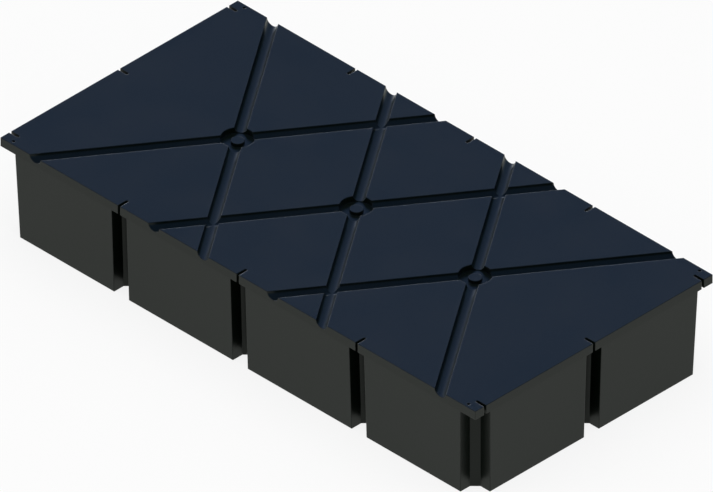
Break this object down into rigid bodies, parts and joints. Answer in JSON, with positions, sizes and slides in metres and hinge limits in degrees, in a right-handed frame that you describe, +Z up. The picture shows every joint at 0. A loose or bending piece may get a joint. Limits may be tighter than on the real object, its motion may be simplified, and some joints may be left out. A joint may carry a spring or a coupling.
{
  "type": "dock float drum",
  "caption": "Rectangular sealed plastic dock float with a slotted deck flange, crossing deck grooves, round hub recesses, upright bolt channels and notched corners.",
  "frame": {"origin": "middle of the flat underside", "axes": "+X along the length, +Y across the width, +Z up out of the deck"},
  "size_m": [1.8288, 0.9144, 0.3048],
  "materials": {
    "moulded_shell": "black moulded polyethylene, satin with a faint pebble"
  },
  "bodies": {
    "root": {"float_drum": "moulded_shell"}
  },
  "joints": []
}
